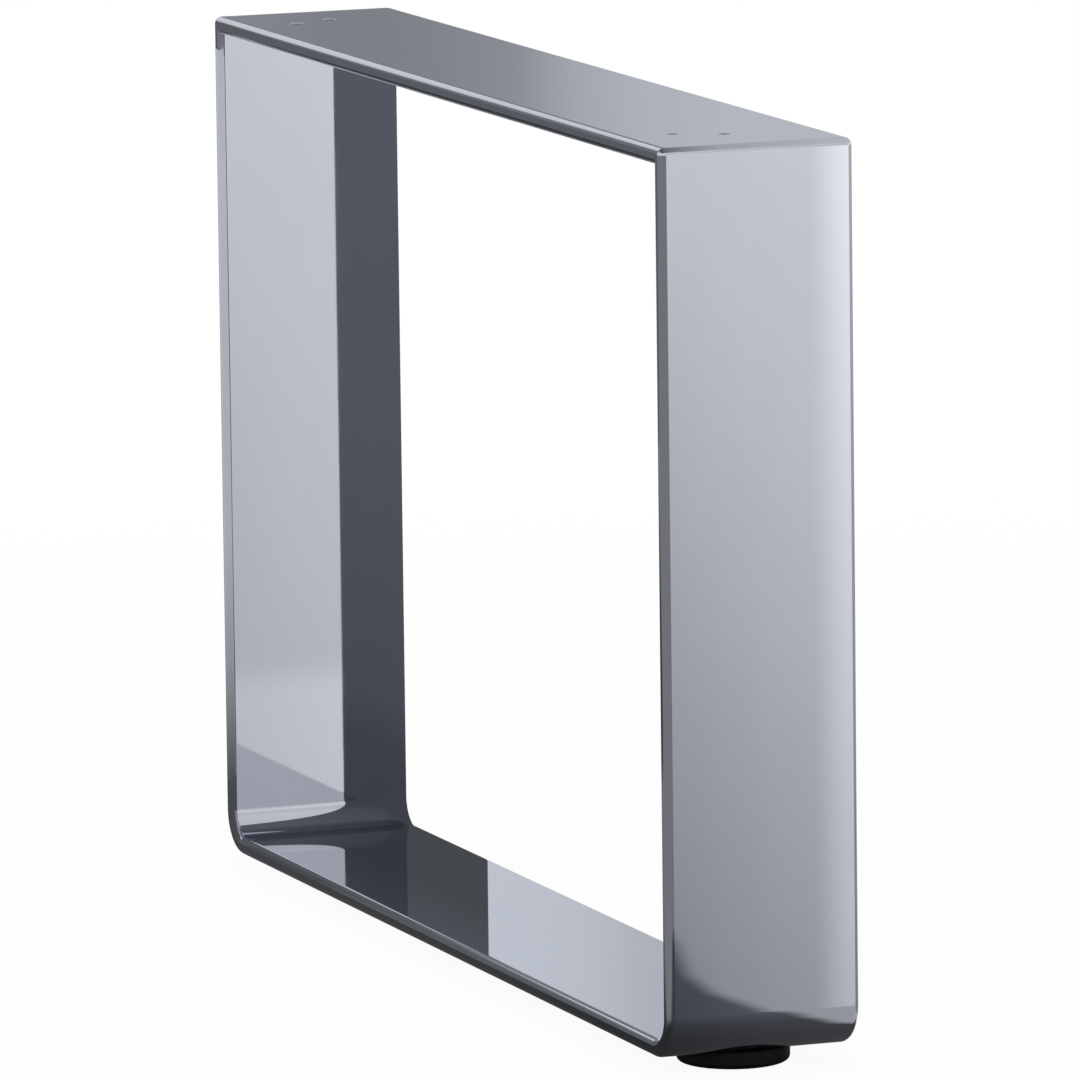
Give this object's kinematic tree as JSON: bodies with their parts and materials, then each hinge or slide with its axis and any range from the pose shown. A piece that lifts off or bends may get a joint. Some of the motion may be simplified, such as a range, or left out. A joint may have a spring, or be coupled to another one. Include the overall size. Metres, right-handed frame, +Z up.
{
  "type": "table base",
  "caption": "Closed upright loop of chromed flat steel bar with rounded floor bends, a drilled plate along the top for a table top, and low black disc glides under the floor rail.",
  "frame": {"origin": "on the floor, under the middle of the loop", "axes": "+X along the loop towards its near end in the picture, +Y across the bar towards its back edge, +Z up"},
  "size_m": [0.58, 0.09, 0.408],
  "materials": {
    "chromed_steel": "polished and chrome plated",
    "black_plastic": "fine moulded grain",
    "zinc_steel": "bright zinc plated"
  },
  "bodies": {
    "root": {"u_frame": "chromed_steel", "top_plate": "chromed_steel", "near_glide": "black_plastic", "far_glide": "black_plastic", "near_glide_screw": "zinc_steel", "far_glide_screw": "zinc_steel"}
  },
  "joints": []
}
